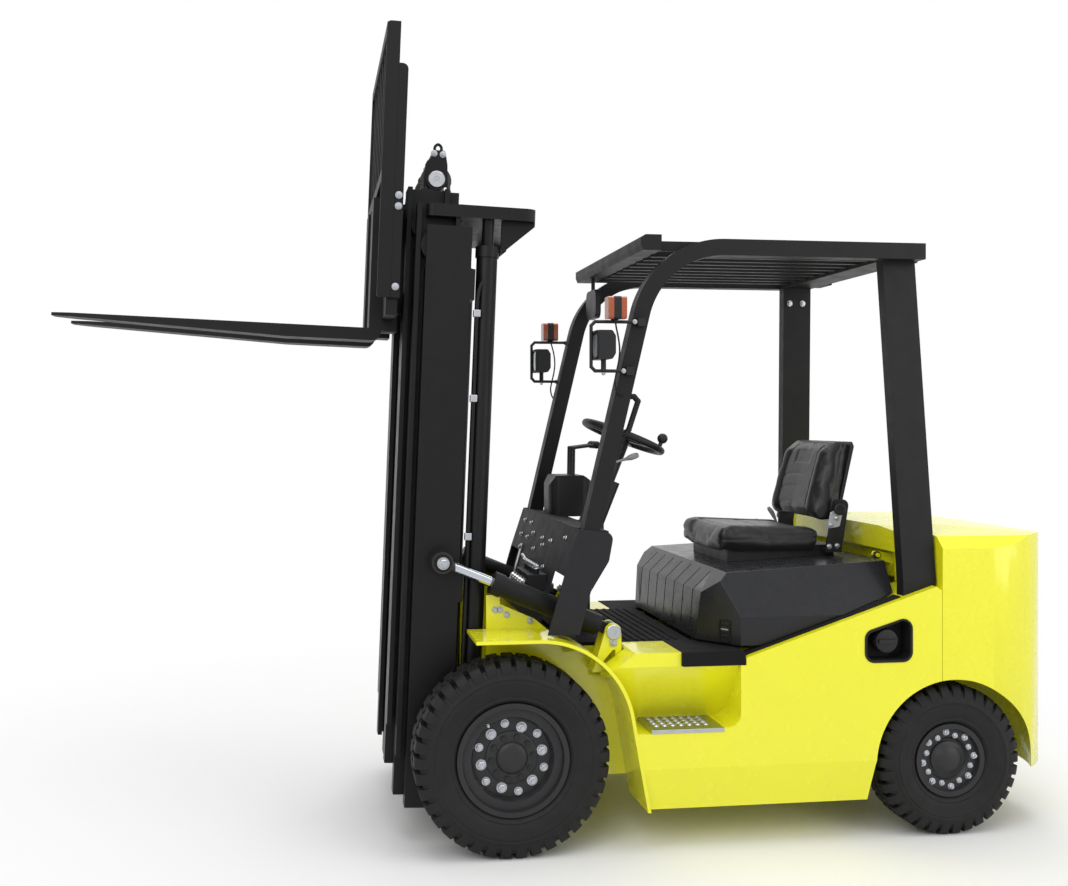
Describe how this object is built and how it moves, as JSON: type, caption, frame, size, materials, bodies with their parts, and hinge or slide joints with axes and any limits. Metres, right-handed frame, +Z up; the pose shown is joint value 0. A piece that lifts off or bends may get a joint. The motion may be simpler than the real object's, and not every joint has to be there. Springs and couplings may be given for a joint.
{
  "type": "forklift truck",
  "caption": "Counterbalance forklift truck with a nested three-stage mast, raised forks, load backrest, overhead guard, lugged tyres and rear steering.",
  "frame": {"origin": "on the floor under the middle of the bounding box", "axes": "+X towards the counterweight, +Y to the truck's right side, +Z up"},
  "size_m": [3.669, 1.16, 2.8753],
  "materials": {
    "yellow_paint": "gloss paint",
    "cast_yellow": "gloss paint",
    "black_paint": "satin paint",
    "grey_paint": "gloss paint",
    "rubber": "matt",
    "tyre": "matt",
    "steel": "bare",
    "iron": "painted",
    "vinyl": "grained",
    "plastic": "matt",
    "amber": "clear",
    "red": "clear",
    "wheel_grey": "satin paint"
  },
  "bodies": {
    "chassis": {"chassis_frame": "yellow_paint", "side_panel_left": "yellow_paint", "side_panel_right": "yellow_paint", "fender_left": "yellow_paint", "fender_right": "yellow_paint", "steps": "steel", "floor_plate": "rubber", "cowl": "grey_paint", "control_pedestal": "plastic", "counterweight": "cast_yellow", "rear_grille": "plastic", "tow_pin": "steel", "engine_block": "iron", "overhead_guard": "black_paint", "head_lamps": "plastic", "turn_lamps": "amber", "rear_mirror": "plastic", "tail_lamps": "red", "drive_axle": "iron", "steer_axle": "iron"},
    "steering_wheel": {"steering_wheel": "plastic"},
    "hood": {"hood": "grey_paint", "seat_base": "black_paint", "seat_cushion": "vinyl", "seat_back": "vinyl"},
    "steer_rod": {"steer_rod": "steel"},
    "mast_outer": {"outer_mast": "black_paint", "lift_barrels": "black_paint"},
    "mast_middle": {"middle_mast": "black_paint"},
    "mast_inner": {"inner_mast": "black_paint", "free_lift_barrel": "black_paint"},
    "chain_head": {"free_lift_head": "grey_paint", "lift_chains": "iron"},
    "carriage": {"carriage": "black_paint", "backrest": "black_paint"},
    "fork_left": {"fork_left": "black_paint"},
    "fork_right": {"fork_right": "black_paint"},
    "front_wheel_left": {"front_rim_left": "wheel_grey", "front_tyre_left": "tyre"},
    "knuckle_left": {"knuckle_left": "iron"},
    "rear_wheel_left": {"rear_rim_left": "wheel_grey", "rear_tyre_left": "tyre"},
    "tilt_barrel_left": {"tilt_barrel_left": "black_paint"},
    "tilt_rod_left": {"tilt_rod_left": "steel"},
    "front_wheel_right": {"front_rim_right": "wheel_grey", "front_tyre_right": "tyre"},
    "knuckle_right": {"knuckle_right": "iron"},
    "rear_wheel_right": {"rear_rim_right": "wheel_grey", "rear_tyre_right": "tyre"},
    "tilt_barrel_right": {"tilt_barrel_right": "black_paint"},
    "tilt_rod_right": {"tilt_rod_right": "steel"}
  },
  "joints": [
    {"name": "front_wheel_left_spin", "type": "hinge", "parent": "chassis", "child": "front_wheel_left", "pos_m": [-0.24548, -0.485, 0.338], "axis": [0, 1, 0], "continuous": true},
    {"name": "front_wheel_right_spin", "type": "hinge", "parent": "chassis", "child": "front_wheel_right", "pos_m": [-0.24548, 0.485, 0.338], "axis": [0, 1, 0], "continuous": true},
    {"name": "steer_left", "type": "hinge", "parent": "chassis", "child": "knuckle_left", "pos_m": [1.35452, -0.35, 0.27], "axis": [0, 0, 1], "range_deg": [-60, 60]},
    {"name": "steer_right", "type": "hinge", "parent": "chassis", "child": "knuckle_right", "pos_m": [1.35452, 0.35, 0.27], "axis": [0, 0, 1], "range_deg": [-60, 60]},
    {"name": "rear_wheel_left_spin", "type": "hinge", "parent": "knuckle_left", "child": "rear_wheel_left", "pos_m": [1.35452, -0.48, 0.27], "axis": [0, 1, 0], "continuous": true},
    {"name": "rear_wheel_right_spin", "type": "hinge", "parent": "knuckle_right", "child": "rear_wheel_right", "pos_m": [1.35452, 0.48, 0.27], "axis": [0, 1, 0], "continuous": true},
    {"name": "steer_rod_slide", "type": "slide", "parent": "chassis", "child": "steer_rod", "axis": [0, 1, 0], "range_m": [-0.07, 0.07]},
    {"name": "steering_wheel_turn", "type": "hinge", "parent": "chassis", "child": "steering_wheel", "pos_m": [0.29852, 0, 1.428], "axis": [0.3746, 0, 0.9272], "range_deg": [-721, 721]},
    {"name": "hood_open", "type": "hinge", "parent": "chassis", "child": "hood", "pos_m": [1.19452, 0, 0.985], "axis": [0, 1, 0], "range_deg": [0, 45]},
    {"name": "mast_tilt", "type": "hinge", "parent": "chassis", "child": "mast_outer", "pos_m": [-0.24548, 0, 0.338], "axis": [0, -1, 0], "range_deg": [-3.7, 8.3]},
    {"name": "middle_lift", "type": "slide", "parent": "mast_outer", "child": "mast_middle", "axis": [0.0401, 0, 0.9992], "range_m": [0, 1.4]},
    {"name": "inner_lift", "type": "slide", "parent": "mast_middle", "child": "mast_inner", "axis": [0.0401, 0, 0.9992], "range_m": [0, 1.4]},
    {"name": "carriage_lift", "type": "slide", "parent": "mast_inner", "child": "carriage", "axis": [0.0401, 0, 0.9992], "range_m": [-1.7, 0]},
    {"name": "chain_head_lift", "type": "slide", "parent": "mast_inner", "child": "chain_head", "axis": [0.0401, 0, 0.9992], "range_m": [-0.85, 0]},
    {"name": "fork_left_shift", "type": "slide", "parent": "carriage", "child": "fork_left", "axis": [0, -1, 0], "range_m": [-0.095, 0.19]},
    {"name": "fork_right_shift", "type": "slide", "parent": "carriage", "child": "fork_right", "axis": [0, 1, 0], "range_m": [-0.095, 0.19]},
    {"name": "tilt_barrel_left_turn", "type": "hinge", "parent": "chassis", "child": "tilt_barrel_left", "pos_m": [0.13752, -0.398, 0.742], "axis": [0, -1, 0], "range_deg": [-2.6, 5.7]},
    {"name": "tilt_rod_left_slide", "type": "slide", "parent": "tilt_barrel_left", "child": "tilt_rod_left", "axis": [-0.9238, 0, 0.3829], "range_m": [-0.035, 0.076]},
    {"name": "tilt_barrel_right_turn", "type": "hinge", "parent": "chassis", "child": "tilt_barrel_right", "pos_m": [0.13752, 0.398, 0.742], "axis": [0, -1, 0], "range_deg": [-2.6, 5.7]},
    {"name": "tilt_rod_right_slide", "type": "slide", "parent": "tilt_barrel_right", "child": "tilt_rod_right", "axis": [-0.9238, 0, 0.3829], "range_m": [-0.035, 0.076]}
  ],
  "couplings": [
    {"joint": "steer_right", "follows": "steer_left", "ratio": 1},
    {"joint": "steer_rod_slide", "follows": "steer_left", "m_per_rad": 0.066},
    {"joint": "steering_wheel_turn", "follows": "steer_left", "ratio": -12},
    {"joint": "inner_lift", "follows": "middle_lift", "ratio": 1},
    {"joint": "chain_head_lift", "follows": "carriage_lift", "ratio": 0.5},
    {"joint": "tilt_barrel_left_turn", "follows": "mast_tilt", "ratio": 0.6833},
    {"joint": "tilt_rod_left_slide", "follows": "mast_tilt", "m_per_rad": 0.51534},
    {"joint": "tilt_barrel_right_turn", "follows": "mast_tilt", "ratio": 0.6833},
    {"joint": "tilt_rod_right_slide", "follows": "mast_tilt", "m_per_rad": 0.51534}
  ]
}
